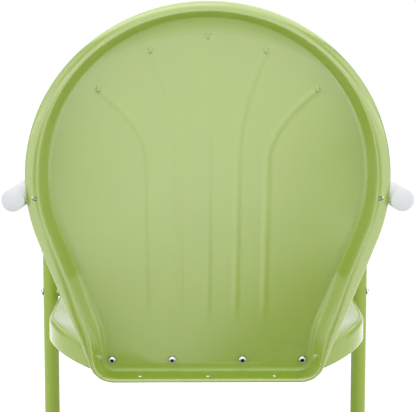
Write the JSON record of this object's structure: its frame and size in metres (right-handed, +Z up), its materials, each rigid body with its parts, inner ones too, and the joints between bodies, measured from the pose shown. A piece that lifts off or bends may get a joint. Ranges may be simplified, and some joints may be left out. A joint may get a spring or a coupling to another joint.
{
  "type": "patio chair",
  "caption": "Metal lawn chair with a round stamped shell back with pressed flutes, a dished stamped seat, white tube arms and a green cantilever tube frame.",
  "frame": {"origin": "centre of the bounding box, at floor level under the glides", "axes": "+Z up, -Y the way the chair faces, +X towards the sitter's left; the mirror plane is x = 0"},
  "size_m": [0.5688, 0.6191, 0.852],
  "materials": {
    "green_paint": "gloss powder coat, leaf green",
    "white_paint": "gloss powder coat, white",
    "white_plastic": "gloss, white",
    "chrome": "bright plated",
    "zinc_steel": "zinc plated",
    "dark_plastic": "matte"
  },
  "bodies": {
    "root": {"back_bolt_1": "chrome", "back_bolt_2": "chrome", "back_bolt_3": "chrome", "back_bolt_4": "chrome", "back_nut_1": "zinc_steel", "back_nut_2": "zinc_steel", "back_nut_3": "zinc_steel", "back_nut_4": "zinc_steel", "back_shell": "green_paint", "front_left_glide": "dark_plastic", "front_right_glide": "dark_plastic", "left_arm_bolt": "chrome", "left_arm_end_cap": "white_plastic", "left_arm_ferrule": "white_plastic", "left_arm_nut": "zinc_steel", "left_arm_screw": "zinc_steel", "left_arm_spacer": "green_paint", "left_arm_tube": "white_paint", "left_arm_washer": "green_paint", "left_crossbar_screw": "zinc_steel", "left_leg_tube": "green_paint", "left_seat_bolt": "chrome", "left_seat_nut": "zinc_steel", "left_seat_spacer": "green_paint", "rear_floor_crossbar": "green_paint", "rear_left_glide": "dark_plastic", "rear_right_glide": "dark_plastic", "right_arm_bolt": "chrome", "right_arm_end_cap": "white_plastic", "right_arm_ferrule": "white_plastic", "right_arm_nut": "zinc_steel", "right_arm_screw": "zinc_steel", "right_arm_spacer": "green_paint", "right_arm_tube": "white_paint", "right_arm_washer": "green_paint", "right_crossbar_screw": "zinc_steel", "right_leg_tube": "green_paint", "right_seat_bolt": "chrome", "right_seat_nut": "zinc_steel", "right_seat_spacer": "green_paint", "seat_pan": "green_paint"}
  },
  "joints": []
}
